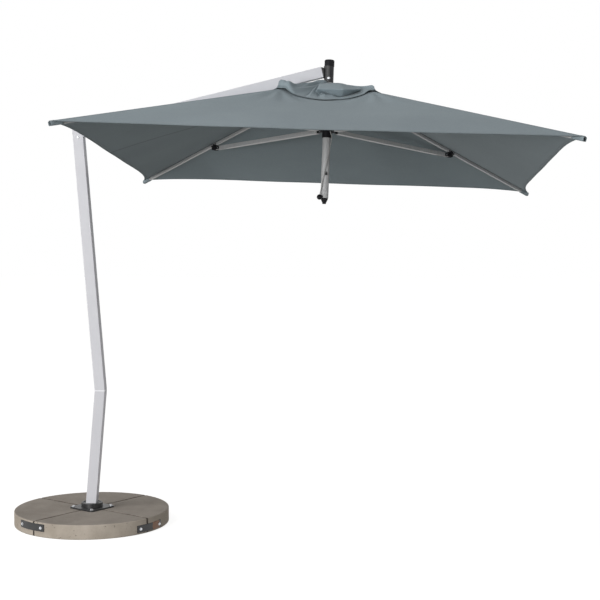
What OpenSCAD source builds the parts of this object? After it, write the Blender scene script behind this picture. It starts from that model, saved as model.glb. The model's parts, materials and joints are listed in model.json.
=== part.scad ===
// Cantilever patio umbrella: a square canopy hung from a cranked mast on a four-slab concrete base.
// Millimetres. The swivel axis is Z, the floor is z = 0, and the arm reaches out along +X.

/* [Base] */
// Radius of the round base
base_r = 440; // [360:5:520]
// Thickness of the concrete slabs
slab_t = 83; // [60:1:110]
// Gap between neighbouring slabs
slab_gap = 6; // [3:0.5:9]
// Rounding of a slab's rim
slab_round = 6; // [3:1:10]
// Turn of the base about the swivel axis, in degrees
base_turn = 11; // [-40:1:40]
// Length of a rim plate along the rim
rim_plate_len = 196; // [120:2:240]
// Height of a rim plate
rim_plate_h = 40; // [24:1:50]
// Thickness of a rim plate
rim_plate_t = 5; // [3:0.5:8]
// Side of the square steel base plate
plate_side = 186; // [160:2:240]
// Thickness of the base plate
plate_t = 8; // [5:0.5:12]
// Outer diameter of the swivel housing
housing_d = 122; // [116:1:140]
// Height of the swivel housing
housing_h = 25; // [18:1:40]
// Diameter of the turning foot inside the housing
foot_d = 100; // [94:1:104]
// Diameter of the king pin
king_pin_d = 30; // [20:1:36]

/* [Mast and arm] */
// Outside width of the square tube
tube_w = 60; // [52:1:70]
// Wall of the square tube
tube_wall = 3; // [2:0.5:5]
// Corner rounding of the square tube
tube_round = 4; // [3.5:0.5:8]
// Length of the lower mast, foot to crank
lower_len = 654; // [500:2:800]
// Lean of the lower mast towards the arm, in degrees
lower_lean = 5; // [0:0.5:8]
// Length of the upper mast, crank to elbow
upper_len = 1468; // [1200:2:1600]
// Lean of the upper mast away from the arm, in degrees
upper_lean = 4.4; // [0:0.2:8]
// Length of the arm, elbow to open end
arm_len = 1421; // [1380:1:1600]
// Rise of the arm, in degrees
arm_rise = 13.5; // [10:0.5:18]

/* [Head] */
// Distance from the arm's open end to the pole's axis
head_gap = 39; // [36:1:60]
// Roll of the hanging canopy about the arm's line, in degrees
canopy_roll = -4.9; // [-10:0.1:10]
// Lean of the pole away from the mast, in degrees
canopy_lean = 1.9; // [-1:0.1:4]
// Drop from the arm's line to the ribs' apex
head_drop = 65; // [60:1:90]
// Outside diameter of the pole's aluminium sleeve
sleeve_d = 52; // [50:1:56]
// Diameter of the roll spindle
spindle_d = 24; // [16:1:30]

/* [Pole and runner] */
// Outside diameter of the pole
pole_d = 44; // [40:1:46]
// Wall of the pole
pole_wall = 2.5; // [2:0.5:4]
// Pole below the ribs' apex
pole_drop = 648; // [560:2:760]
// Outside diameter of the runner's barrel
runner_d = 52; // [50:1:56]
// Runner's hinge level below the ribs' apex, canopy open
runner_drop = 269; // [262:1:276]
// Radius of the hinge circle on the runner
runner_hinge_r = 46; // [44:1:50]
// Radius of the hinge circle on the crown hub
crown_hinge_r = 80; // [76:1:90]
// Diameter of the hinge pins
pin_d = 8; // [6:0.5:9]

/* [Canopy and ribs] */
// Side of the square canopy, corner to corner
canopy_side = 2500; // [2400:10:2600]
// Height of the apex over the corners
canopy_drop = 449; // [440:1:460]
// Thickness of the cloth
cloth_t = 2; // [1.5:0.5:3]
// How far the hem curves in between two corners
hem_inset = 50; // [20:1:80]
// Half width of the air opening under the hood
vent_half = 180; // [150:5:200]
// Half width of the hood at its corners
hood_half = 262; // [240:1:280]
// How far the hood's edges hang out past its corners
hood_bulge = 186; // [100:1:220]
// Rise of the hood's corners over the ribs
hood_rise = 62; // [30:1:80]
// Width of a rib
rib_w = 16; // [14:0.5:17]
// Height of a rib
rib_h = 18; // [16:0.5:18.5]
// Wall of a rib
rib_wall = 1.5; // [1:0.25:2.5]
// Place of the strut bracket, as a share of the rib from apex to corner
bracket_share = 0.58; // [0.57:0.005:0.6]
// Drop of the strut hinge under the rib's middle line
bracket_drop = 24; // [24:0.5:27]
// Inside width of a strut channel, which takes in the rib when folded
strut_in = 21; // [20.5:0.5:22]
// Height of a strut channel
strut_h = 24; // [24:0.5:26]
// Wall of a strut channel
strut_wall = 2.4; // [2:0.2:3]

/* [Pull cord] */
// Diameter of the cord
cord_d = 5; // [3:0.5:5]
// Diameter of the ball on the cord
ball_d = 30; // [24:1:32]

/* [Hidden] */
$fn = 64;
eps = 0.01;
running = 0.05;   // radial clearance of a pin or shaft that turns in a bore
snug = 0.05;      // radial clearance of a pin or tube that is fixed in a hole
seat = 0.3;       // clearance between pieces of different bodies
far = 4000;       // side of a block that cuts away one half of space

// --- colours
concrete = [0.60, 0.56, 0.50];
black_steel = [0.10, 0.10, 0.11];
bright_steel = [0.75, 0.76, 0.78];
white_coat = [0.87, 0.87, 0.89];
aluminium = [0.66, 0.66, 0.66];
black_plastic = [0.07, 0.07, 0.08];
cloth = [0.39, 0.44, 0.46];
cord_grey = [0.62, 0.62, 0.62];

// --- base
bottom_plate_t = 6;
plate_bolt_r = 105;
bolt_d = 12;
rim_bolt_span = 154;
rim_places = [[45, 42], [136, 46], [222.5, 54], [318, 31]];    // angle and height of each rim plate
joint_bevel = 5;        // each joint is this much wider at the top, either side
bevel_side = (slab_gap / 2 + joint_bevel) * sqrt(2);
rim_seat = 0.1;         // the rim plates stand this far off the faceted rim
plate_top = slab_t + plate_t;
foot_top = plate_top + housing_h;
foot_recess = 3;        // the foot's top lies this far below the housing's rim
foot_axis_z = foot_top - foot_recess;
king_pin_up = 18;       // king pin above the base plate

// --- mast and arm, in the XZ plane
tube_in = tube_w - 2 * tube_wall;
foot_point = [0, foot_axis_z];
kink_point = foot_point + lower_len * [sin(lower_lean), cos(lower_lean)];
elbow_point = kink_point + upper_len * [-sin(upper_lean), cos(upper_lean)];
arm_dir = [cos(arm_rise), sin(arm_rise)];
head_point = elbow_point + (arm_len + head_gap) * arm_dir;
arm_turn = 90 - arm_rise;                      // arm's direction, from +Z towards +X
kink_mitre = (lower_lean - upper_lean) / 2;
elbow_mitre = (arm_turn - upper_lean) / 2;
insert_len = 110;
insert_fit = 0.3;
elbow_bolt_down = 26;

// --- head
saddle_t = 5;
saddle_low = -2;
saddle_high = 88;
cap_d = sleeve_d + 3;
cap_h = 37;
head_bolt_z = 18;
bush_len = 60;
spindle_back = 74;      // spindle and nut reach this far into the arm
face_gap = 0.5;

// --- crown, ribs, struts: every rib lies in the plane of its corner
half_diag = canopy_side / 2 * sqrt(2);
rib_slope = atan2(canopy_drop, half_diag);
rib_under = rib_h / 2 + 3;                     // rib's middle line below the cloth's line
rib_dir = [cos(rib_slope), -sin(rib_slope)];
rib_down = [-sin(rib_slope), -cos(rib_slope)];
crown_hinge_z = -crown_hinge_r * tan(rib_slope) - rib_under / cos(rib_slope);
crown_hinge = [crown_hinge_r, crown_hinge_z];
corner_point = half_diag / cos(rib_slope) * rib_dir + rib_under * rib_down;
rib_len = norm(corner_point - crown_hinge);
bracket_at = bracket_share * half_diag / cos(rib_slope) * rib_dir + (rib_under + bracket_drop) * rib_down;
bracket_s = (bracket_at - crown_hinge) * rib_dir;
runner_hinge = [runner_hinge_r, -runner_drop];
strut_len = norm(bracket_at - runner_hinge);
strut_slope = atan2(runner_hinge[1] - bracket_at[1], bracket_at[0] - runner_hinge[0]);
azimuths = [-135, -45, 45, 135];               // near left, near right, far right, far left
eye_w = 14;
root_w = 12;
eye_r = 8;
ear_t = 5;
rib_start = 22;
tip_back = 34;
tip_end = 8;
plug_len = 40;
fork_open = 120;        // the strut's floor stops this far before its outer hinge
fork_wall_end = 26;
eye_start = 28;

// --- canopy and hood: each side is a grid of side_steps by rings
side_steps = 12;
canopy_rings = 9;
hood_rings = 10;
sag_top = 44;
sag_hem = 3;
hem_tension = [1, 1.35, 1, 0.85];              // pull of each hem: right, back, left, front
ear_share = [0.6, 0.8, 1, 0.6];                // height of each hood corner, from back right round
hood_centre_z = -9;
hood_lift = 9;
hood_hole = 34;
pocket_len = 70;

// --- crown hub and runner
crown_top = -23;
crown_low = crown_hinge_z - 10;
crown_d = 60;
runner_up = 12;
runner_down = 42;

// --- cord: the middle line, in the canopy's own axes
cord_route = [
    [17, -24, -262], [18, -24, -272], [21, -22, -283], [26, -17, -294], [29, -12, -303], [29, -11, -312],
    [28, -11, -324], [26, -13, -338], [24, -14, -350], [20, -16, -372], [16, -20, -396], [12, -22, -420],
    [8, -24, -445], [4, -25, -468], [0, -26, -490], [-4, -25, -512], [-8, -25, -535], [-12, -24, -558],
    [-16, -23, -582], [-20, -24, -606], [-25, -28, -634]
];
ball_at = [-26, -28, -645];
cord_sides = 8;
hook_z = -512;
hook_x = 6;

// ------------------------------------------------------------------ shared shapes

// Rectangle with round corners, centred
module round_rect(w, h, r) {
    square([w - 2 * r, h], center = true);
    square([w, h - 2 * r], center = true);
    for (x = [-1, 1], y = [-1, 1]) translate([x * (w / 2 - r), y * (h / 2 - r)]) circle(r);
}

// Extrudes a section, drawn in Y and Z, along +X
module bar(len) rotate([90, 0, 90]) linear_extrude(len) children();

// Cylinder along Y, centred
module cross_pin(d, len) rotate([90, 0, 0]) cylinder(d = d, h = len, center = true);

// Everything on the far side of a plane through p, whose normal leans by turn from +Z to +X
module half_space(p, turn) {
    translate([p[0], 0, p[1]]) rotate([0, turn, 0]) translate([-far / 2, -far / 2, 0]) cube(far);
}

// Moves a shape that stands on Z to point p and leans it towards +X
module leaned(p, turn) translate([p[0], 0, p[1]]) rotate([0, turn, 0]) children();

module tube_section() {
    difference() {
        round_rect(tube_w, tube_w, tube_round);
        round_rect(tube_in, tube_in, max(tube_round - tube_wall, 0.5));
    }
}

module insert_section() round_rect(tube_in - 2 * insert_fit, tube_in - 2 * insert_fit, 1);

// Hexagon head with a washer, seated on z = 0
module hex_head(d) {
    cylinder(d = 2.1 * d, h = 0.2 * d);
    cylinder(d = 1.75 * d, h = 0.75 * d, $fn = 6);
}

module in_base() rotate([0, 0, base_turn]) children();
module in_arm() translate([elbow_point[0], 0, elbow_point[1]]) rotate([0, -arm_rise, 0]) children();

// The canopy's own axes: origin at the ribs' apex, Z up the pole
module in_canopy() {
    translate([head_point[0], 0, head_point[1]])
        rotate([canopy_roll, 0, 0]) rotate([0, canopy_lean, 0])
        translate([0, 0, -head_drop]) children();
}

// Along rib i: X runs down the rib from its hinge
module on_rib(i) {
    in_canopy() rotate([0, 0, azimuths[i]]) translate([crown_hinge_r, 0, crown_hinge_z])
        rotate([0, rib_slope, 0]) children();
}

// Along strut i: X runs out from its hinge on the runner
module on_strut(i) {
    in_canopy() rotate([0, 0, azimuths[i]]) translate([runner_hinge_r, 0, -runner_drop])
        rotate([0, strut_slope, 0]) children();
}

// ------------------------------------------------------------------ base

// Half section of the whole round slab, with a rounded top and bottom rim
module slab_profile() {
    square([base_r - slab_round, slab_t]);
    translate([0, slab_round]) square([base_r, slab_t - 2 * slab_round]);
    for (z = [slab_round, slab_t - slab_round]) translate([base_r - slab_round, z]) circle(slab_round);
}

// One quarter of the base, whose middle points along the given side
module slab(side) {
    color(concrete) in_base() difference() {
        intersection() {
            rotate_extrude($fn = 180) intersection() {
                slab_profile();
                square([base_r, slab_t]);
            }
            rotate([0, 0, side - 45]) translate([slab_gap / 2, slab_gap / 2, -1])
                cube([base_r, base_r, slab_t + 2]);
        }
        plate_square(plate_side + 2 * insert_fit, -1, bottom_plate_t + 1);
        cylinder(d = king_pin_d + 10, h = 3 * slab_t, center = true);
        for (a = [0:90:270]) rotate([0, 0, a]) translate([plate_bolt_r, 0, -1])
            cylinder(d = bolt_d + 2, h = slab_t + 2);
        for (p = rim_places) rim_bolt_places(p) translate([0, 0, -50]) cylinder(d = bolt_d - 2, h = 60);
        for (e = [-45, 45]) rotate([0, 0, side + e]) translate([0, 0, slab_t]) rotate([45, 0, 0])
            translate([base_r, 0, 0]) cube([2 * base_r, bevel_side, bevel_side], center = true);
    }
}

// Square with clipped corners that point at the slabs' middles
module plate_square(side, z, t) {
    translate([0, 0, z]) linear_extrude(t) intersection() {
        rotate(45) square(side, center = true);
        square(side * sqrt(2) - 16, center = true);
    }
}

// Two places on the rim, either side of the middle of a rim plate at p, with Z pointing outwards
module rim_bolt_places(p) {
    half = rim_bolt_span / 2 / base_r * 180 / PI;
    for (b = [-half, half])
        rotate([0, 0, p[0] + b]) translate([base_r, 0, p[1]]) rotate([0, 90, 0]) children();
}

module rim_plates() {
    span = rim_plate_len / base_r * 180 / PI;
    color(black_steel) in_base() for (p = rim_places) difference() {
        rotate([0, 0, p[0] - span / 2]) rotate_extrude(angle = span, $fn = 180)
            translate([base_r + rim_seat, p[1] - rim_plate_h / 2]) square([rim_plate_t, rim_plate_h]);
        rim_bolt_places(p) cylinder(d = bolt_d - 2, h = 40, center = true);
    }
}

module rim_bolts() {
    color(bright_steel) in_base() for (p = rim_places) rim_bolt_places(p) {
        translate([0, 0, rim_plate_t + rim_seat + eps]) hex_head(8);
        translate([0, 0, -45]) cylinder(d = bolt_d - 2.5, h = 45 + rim_plate_t + 1);
    }
}

module bottom_plate() {
    color(black_steel) in_base() difference() {
        plate_square(plate_side, 0, bottom_plate_t);
        for (a = [0:90:270]) rotate([0, 0, a]) translate([plate_bolt_r, 0, -1])
            cylinder(d = bolt_d + 2 * snug, h = 20);
    }
}

module base_plate() {
    color(black_steel) in_base() difference() {
        union() {
            plate_square(plate_side, slab_t, plate_t);
            translate([0, 0, plate_top - eps]) cylinder(d = housing_d, h = housing_h - 3);
            translate([0, 0, plate_top + housing_h - 3 - eps])
                cylinder(d1 = housing_d, d2 = housing_d - 5, h = 3);
        }
        translate([0, 0, plate_top]) cylinder(d = foot_d + 2 * running, h = housing_h + 1);
        cylinder(d = king_pin_d + 2 * snug, h = 3 * slab_t);
        for (a = [0:90:270]) rotate([0, 0, a]) translate([plate_bolt_r, 0, 0])
            cylinder(d = bolt_d + 1, h = 3 * slab_t);
    }
}

module base_bolts() {
    color(bright_steel) in_base() for (a = [0:90:270]) rotate([0, 0, a]) translate([plate_bolt_r, 0, 0]) {
        translate([0, 0, plate_top + eps]) hex_head(bolt_d - 2);
        translate([0, 0, 1]) cylinder(d = bolt_d, h = plate_top + 2);
    }
}

module king_pin() {
    color(bright_steel) translate([0, 0, slab_t - 30])
        cylinder(d = king_pin_d, h = 30 + plate_t + king_pin_up);
}

// ------------------------------------------------------------------ mast and arm

module mast_foot() {
    color(black_steel) difference() {
        union() {
            translate([0, 0, plate_top + seat]) cylinder(d = foot_d, h = housing_h - foot_recess - seat);
            difference() {
                leaned(foot_point, lower_lean) translate([0, 0, -12]) linear_extrude(insert_len + 12)
                    insert_section();
                half_space([0, plate_top + seat], 180);
            }
        }
        cylinder(d = king_pin_d + 2 * running, h = plate_top + king_pin_up + seat);
    }
}

module mast_lower() {
    color(white_coat) difference() {
        leaned(foot_point, lower_lean) translate([0, 0, -20]) linear_extrude(lower_len + 60) tube_section();
        half_space(kink_point, kink_mitre);
        half_space([0, foot_axis_z], 180);
    }
}

// Solid block that follows the middle line round a bend at p and fills both tubes
module bent_block(p, turn_in, turn_out, len) {
    half = tube_in / 2 - insert_fit;
    way_in = [sin(turn_in), cos(turn_in)];
    way_out = [sin(turn_out), cos(turn_out)];
    side_in = half * [way_in[1], -way_in[0]];
    side_out = half * [way_out[1], -way_out[0]];
    mitre = (side_in + side_out) / (1 + way_in * way_out);
    rotate([90, 0, 0]) linear_extrude(2 * half, center = true) polygon([
        p - len * way_in + side_in, p + mitre, p + len * way_out + side_out,
        p + len * way_out - side_out, p - mitre, p - len * way_in - side_in
    ]);
}

module mast_coupler() {
    color(black_steel) bent_block(kink_point, lower_lean, -upper_lean, insert_len);
}

module elbow_bolt_place() {
    leaned(elbow_point, -upper_lean) translate([0, 0, -elbow_bolt_down]) children();
}

module mast_upper() {
    color(white_coat) difference() {
        leaned(kink_point, -upper_lean) translate([0, 0, -30]) linear_extrude(upper_len + 100)
            tube_section();
        half_space(kink_point, kink_mitre + 180);
        half_space(elbow_point, elbow_mitre);
        elbow_bolt_place() cross_pin(10.4, 2 * tube_w);
    }
}

module arm_elbow() {
    color(black_steel) difference() {
        bent_block(elbow_point, -upper_lean, arm_turn, insert_len);
        elbow_bolt_place() cross_pin(10.4, 2 * tube_w);
    }
}

module elbow_bolt() {
    color(bright_steel) elbow_bolt_place() {
        cross_pin(10, tube_w + 2);
        for (s = [0, 180]) rotate([0, 0, s]) translate([0, -tube_w / 2 - eps, 0]) rotate([90, 0, 0])
            intersection() {
            cylinder(d = 17, h = 4);
            translate([0, 0, -8]) sphere(r = 11.7);
        }
    }
}

module arm() {
    color(white_coat) difference() {
        leaned(elbow_point, arm_turn) translate([0, 0, -100]) linear_extrude(arm_len + 100) tube_section();
        half_space(elbow_point, elbow_mitre + 180);
    }
}

module arm_bush() {
    color(black_plastic) in_arm() difference() {
        translate([arm_len - bush_len, 0, 0]) bar(bush_len) insert_section();
        translate([arm_len - bush_len - 1, 0, 0]) rotate([0, 90, 0])
            cylinder(d = spindle_d + 2 * running, h = bush_len + 2);
    }
}

// ------------------------------------------------------------------ head

module roll_spindle() {
    color(bright_steel) in_arm() {
        translate([arm_len - bush_len - 6, 0, 0]) rotate([0, 90, 0])
            cylinder(d = spindle_d, h = bush_len + 6 + face_gap);
        translate([arm_len - spindle_back, 0, 0]) rotate([0, 90, 0])
            cylinder(d = spindle_d + 14, h = 13, $fn = 6);
    }
}

// Forged bracket: a face that turns against the arm's end, and a saddle that grips the sleeve
module head_bracket() {
    ring = sleeve_d / 2 + saddle_t;
    color(black_steel) difference() {
        union() {
            hull() {
                in_arm() translate([arm_len + face_gap, 0, 0]) bar(5) round_rect(tube_w - 6, tube_w - 6, 6);
                in_canopy() translate([-sleeve_d / 2 - 4, -20, saddle_low + 20])
                    cube([3, 40, saddle_high - saddle_low - 32]);
            }
            in_canopy() rotate([0, 0, 80]) rotate_extrude(angle = 200)
                translate([sleeve_d / 2 + snug, saddle_low]) square([saddle_t, saddle_high - saddle_low]);
        }
        in_arm() translate([arm_len + face_gap - far, -far / 2, -far / 2]) cube(far);
        in_canopy() {
            cylinder(d = sleeve_d + 2 * snug, h = 400, center = true);
            translate([0, 0, head_bolt_z]) cross_pin(10.4, 3 * ring);
        }
    }
}

module pole_sleeve() {
    color(aluminium) in_canopy() difference() {
        translate([0, 0, saddle_low]) cylinder(d = sleeve_d, h = saddle_high - saddle_low);
        cylinder(d = pole_d + 2 * snug, h = 400, center = true);
        translate([0, 0, head_bolt_z]) cross_pin(10.4, 2 * sleeve_d);
    }
}

module head_bolt() {
    reach = sleeve_d / 2 + snug + saddle_t;
    color(bright_steel) in_canopy() translate([0, 0, head_bolt_z]) {
        cross_pin(10, 2 * reach + 2);
        translate([0, -reach - eps, 0]) rotate([90, 0, 0]) intersection() {
            cylinder(d = 16, h = 5);
            translate([0, 0, -7]) sphere(r = 11.5);
        }
        translate([0, reach + eps, 0]) rotate([-90, 0, 0]) cylinder(d = 17, h = 8, $fn = 6);
    }
}

// Drawn aluminium tube with shallow flutes all round
module pole() {
    color(aluminium) in_canopy() difference() {
        translate([0, 0, -pole_drop]) linear_extrude(pole_drop + saddle_high) difference() {
            circle(d = pole_d);
            circle(d = pole_d - 2 * pole_wall);
            for (a = [0:22.5:337.5]) rotate(a + 11.25) translate([pole_d / 2 + 1, 0])
                circle(d = 3.4, $fn = 24);
        }
        translate([0, 0, head_bolt_z]) cross_pin(10.4, 2 * sleeve_d);
    }
}

module pole_cap() {
    color(black_plastic) in_canopy() {
        translate([0, 0, saddle_high + eps]) rotate_extrude() {
            square([cap_d / 2, cap_h - 6]);
            square([cap_d / 2 - 6, cap_h]);
            translate([cap_d / 2 - 6, cap_h - 6]) intersection() {
                circle(6);
                square(6);
            }
        }
        translate([0, 0, saddle_high - 25]) cylinder(d = pole_d - 2 * pole_wall - 1, h = 26);
    }
}

module pole_end() {
    color(black_plastic) in_canopy() translate([0, 0, -pole_drop - eps]) {
        translate([0, 0, -6]) cylinder(d = pole_d - 4, h = 6);
        translate([0, 0, -28]) cylinder(d1 = 20, d2 = pole_d - 4, h = 22);
        translate([0, 0, -32]) cylinder(d = 20, h = 4);
        cylinder(d = pole_d - 2 * pole_wall - 1, h = 30);
    }
}

// Small horn screwed to the pole, on which the cord is wound
module cord_hook() {
    color(black_plastic) in_canopy() difference() {
        translate([hook_x, -pole_d / 2 + 3, hook_z]) {
            rotate([90, 0, 0]) cylinder(d = 7, h = 9);
            hull() {
                translate([0, -8, 9]) cube([3, 4, 2], center = true);
                translate([0, -8, -9]) cube([11, 4, 2], center = true);
            }
        }
        cylinder(d = pole_d + 2 * snug, h = 3 * pole_drop, center = true);
    }
}

// ------------------------------------------------------------------ crown and runner

// Pair of ears with a slot between them, out from the axis to just past the hinge
module ears(hinge_r, hinge_z, slot, ear_h) {
    for (i = [0:3]) rotate([0, 0, azimuths[i]]) difference() {
        union() {
            translate([0, -slot / 2 - ear_t, hinge_z - ear_h / 2]) cube([hinge_r, slot + 2 * ear_t, ear_h]);
            translate([hinge_r, 0, hinge_z]) cross_pin(ear_h, slot + 2 * ear_t);
        }
        translate([hinge_r - 18, -slot / 2, hinge_z - ear_h]) cube([60, slot, 2 * ear_h]);
        translate([hinge_r, 0, hinge_z]) cross_pin(pin_d, 60);
    }
}

module crown_hub() {
    color(black_plastic) in_canopy() difference() {
        union() {
            translate([0, 0, crown_low]) cylinder(d = crown_d, h = crown_top - crown_low);
            ears(crown_hinge_r, crown_hinge_z, root_w + 2 * seat, 17);
        }
        cylinder(d = pole_d + 2 * snug, h = 400, center = true);
    }
}

// Four hinge pins, pressed into the ears
module hinge_pins(hinge_r, hinge_z, slot) {
    for (i = [0:3]) rotate([0, 0, azimuths[i]]) translate([hinge_r, 0, hinge_z]) {
        cross_pin(pin_d, slot + 2 * ear_t + 1);
        for (s = [-1, 1]) translate([0, s * (slot / 2 + ear_t + 0.75 + eps), 0]) cross_pin(pin_d + 3, 1.5);
    }
}

module crown_pins() {
    color(bright_steel) in_canopy() hinge_pins(crown_hinge_r, crown_hinge_z, root_w + 2 * seat);
}

module runner() {
    color(black_plastic) in_canopy() difference() {
        union() {
            translate([0, 0, -runner_drop - runner_down])
                cylinder(d = runner_d, h = runner_down + runner_up);
            ears(runner_hinge_r, -runner_drop, eye_w + 2 * seat, 18);
            translate([cord_route[0][0] - 5, cord_route[0][1] - 4, cord_route[0][2] - 2]) cube([10, 14, 6]);
        }
        cylinder(d = pole_d + 2 * running, h = 3 * runner_drop, center = true);
    }
}

module runner_pins() {
    color(bright_steel) in_canopy() hinge_pins(runner_hinge_r, -runner_drop, eye_w + 2 * seat);
}

// ------------------------------------------------------------------ ribs

module rib(i) {
    color(aluminium) on_rib(i) translate([rib_start, 0, 0]) bar(rib_len - tip_back - rib_start)
        difference() {
        round_rect(rib_w, rib_h, 3);
        round_rect(rib_w - 2 * rib_wall, rib_h - 2 * rib_wall, 1.5);
    }
}

// Plug in the rib's inner end, with the eye that turns on the crown's pin
module rib_root(i) {
    color(black_plastic) on_rib(i) difference() {
        union() {
            cross_pin(2 * eye_r, root_w);
            translate([0, 0, 0]) bar(rib_start) square([root_w, 2 * eye_r], center = true);
            translate([rib_start, 0, 0]) bar(plug_len)
                round_rect(rib_w - 2 * rib_wall - 0.2, rib_h - 2 * rib_wall - 0.2, 1.5);
        }
        cross_pin(pin_d + 2 * running, 60);
    }
}

// Clip round the rib with a tongue below it, narrower than the strut's channel
module rib_bracket(i) {
    color(black_plastic) on_rib(i) translate([bracket_s, 0, 0]) {
        translate([-24, 0, 0]) bar(48) difference() {
            round_rect(rib_w + 3, rib_h + 3, 3);
            round_rect(rib_w + 2 * eps, rib_h + 2 * eps, 3);
            translate([-rib_w, rib_h / 2 - 5]) square(2 * rib_w);
        }
        translate([-12, -5, -bracket_drop]) cube([24, 10, bracket_drop - rib_h / 2 - 1]);
        translate([0, 0, -bracket_drop]) {
            cross_pin(16, strut_in - 2 * seat);
            translate([0, 0, 0]) cross_pin(24, 10);
        }
    }
}

// Tapered end cap that sits in the canopy's corner pocket
module rib_tip(i) {
    color(black_plastic) on_rib(i) translate([rib_len - tip_back, 0, 0]) {
        translate([-plug_len, 0, 0]) bar(plug_len)
            round_rect(rib_w - 2 * rib_wall - 0.2, rib_h - 2 * rib_wall - 0.2, 1.5);
        hull() {
            bar(8) square([rib_w, rib_h - 4], center = true);
            translate([tip_back - tip_end - 4, 0, 0]) rotate([0, 90, 0]) cylinder(d = 8, h = 4, $fn = 24);
        }
    }
}

// ------------------------------------------------------------------ struts

// Channel, open at the top, so that the folded rib lies inside it
module strut(i) {
    out_w = strut_in + 2 * strut_wall;
    color(aluminium) on_strut(i) difference() {
        translate([eye_start, 0, 0]) bar(strut_len - fork_wall_end - eye_start) difference() {
            round_rect(out_w, strut_h, 3);
            translate([-strut_in / 2, -strut_h / 2 + strut_wall]) square([strut_in, strut_h]);
        }
        translate([strut_len - fork_open, -strut_in / 2, -strut_h])
            cube([fork_open, strut_in, 2 * strut_h]);
    }
}

// Eye on the runner's pin, and the two cheeks at the outer hinge
module strut_ends(i) {
    cheek_t = 3.2;
    color(black_plastic) on_strut(i) {
        difference() {
            union() {
                cross_pin(2 * eye_r, eye_w);
                bar(eye_start) square([eye_w, 2 * eye_r], center = true);
                translate([eye_start, 0, strut_wall / 2]) bar(plug_len)
                    square([strut_in - 2 * eps, 2 * eye_r], center = true);
            }
            cross_pin(pin_d + 2 * running, 60);
        }
        for (s = [-1, 1]) translate([strut_len, s * (strut_in / 2 + strut_wall + cheek_t / 2 + eps), 0]) {
            translate([-56, -cheek_t / 2, -strut_h / 2 + 3]) cube([56, cheek_t, strut_h - 6]);
            cross_pin(22, cheek_t);
        }
        for (s = [-1, 1]) translate([strut_len, s * (strut_in + strut_wall + 1) / 2, 0])
            cross_pin(18, strut_wall + 1);
    }
}

// ------------------------------------------------------------------ cloth

// Points on a square ring: v runs -1 to 1 along each side, and q turns the side
function turned(p, q) = [p[0] * cos(q) - p[1] * sin(q), p[0] * sin(q) + p[1] * cos(q), p[2]];

// Closed shell over a square: rings from the inner to the outer edge, bottom skin then top skin
module cloth_shell(points_low, points_high, rings, around) {
    n = rings * around;
    all = concat(points_low, points_high);
    function at(layer, r, a) = layer * n + r * around + (a % around);
    skins = [for (r = [0:rings - 2], a = [0:around - 1]) each [
        [at(1, r, a), at(1, r, a + 1), at(1, r + 1, a)],
            [at(1, r, a + 1), at(1, r + 1, a + 1), at(1, r + 1, a)],
        [at(0, r, a), at(0, r + 1, a), at(0, r, a + 1)],
            [at(0, r, a + 1), at(0, r + 1, a), at(0, r + 1, a + 1)]
    ]];
    rims = [for (a = [0:around - 1]) each [
        [at(0, 0, a), at(0, 0, a + 1), at(1, 0, a)], [at(0, 0, a + 1), at(1, 0, a + 1), at(1, 0, a)],
        [at(0, rings - 1, a), at(1, rings - 1, a), at(0, rings - 1, a + 1)],
        [at(0, rings - 1, a + 1), at(1, rings - 1, a), at(1, rings - 1, a + 1)]
    ]];
    polyhedron(all, concat(skins, rims), convexity = 8);
}

// Sag of the cloth between two ribs, most at the air opening
function sag(t, v) = pow(1 - v * v, 2) * (sag_hem + (sag_top - sag_hem) * pow(1 - t, 1.5));

// Height of the canopy's cloth at distance m from the pole, measured square to the side
function cloth_z(m, v) = -canopy_drop * m / (canopy_side / 2) - sag(m / (canopy_side / 2), v);

// A point of the canopy on the side at angle q
function canopy_point(t, v, q, up) =
    let (pull = hem_inset * hem_tension[q / 90] * 2 / canopy_side,
         m = (vent_half + (canopy_side / 2 - vent_half) * t) * (1 - pull * t * t * (1 - pow(v, 8))))
    [m, m * v, cloth_z(m, v) + up];

// A point of the hood: it lies close over the cloth, and puffs up just inside its corners
function hood_point(t, v, q, up) =
    let (edge = hood_half + hood_bulge * pow(1 - abs(v), 1.3),
         edge_z = cloth_z(edge, v) + hood_lift,
         m = hood_hole + (edge - hood_hole) * t,
         puff = hood_rise * ear_share[(q / 90 + (v > 0 ? 0 : 3)) % 4] * pow(v, 12) * pow(t, 4)
             * (1 - pow(t, 32)))
    [m, m * v, hood_centre_z + (edge_z - hood_centre_z) * pow(t, 1.1) + puff + up];

function ring_points(steps, rings) =
    [for (r = [0:rings - 1], q = [0:90:270], k = [0:steps - 1]) [r / (rings - 1), -1 + 2 * k / steps, q]];

module canopy() {
    grid = ring_points(side_steps, canopy_rings);
    color(cloth) in_canopy() cloth_shell(
        [for (g = grid) turned(canopy_point(g[0], g[1], g[2], 0), g[2])],
        [for (g = grid) turned(canopy_point(g[0], g[1], g[2], cloth_t), g[2])],
        canopy_rings, 4 * side_steps);
    color(cloth) corner_pockets();
}

module wind_vent() {
    grid = ring_points(side_steps, hood_rings);
    color(cloth) in_canopy() cloth_shell(
        [for (g = grid) turned(hood_point(g[0], g[1], g[2], 0), g[2])],
        [for (g = grid) turned(hood_point(g[0], g[1], g[2], cloth_t), g[2])],
        hood_rings, 4 * side_steps);
}

// Sewn pockets under the corners that hold the rib tips
module corner_pockets() {
    for (i = [0:3]) on_rib(i) translate([rib_len - pocket_len, 0, 0]) difference() {
        bar(pocket_len) translate([0, -1.5]) round_rect(rib_w + 8, rib_h + 5, 4);
        translate([-1, 0, 0]) bar(pocket_len - 2) round_rect(rib_w + 3, rib_h + 1, 3);
    }
}

// ------------------------------------------------------------------ pull cord

function unit(v) = v / norm(v);

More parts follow.
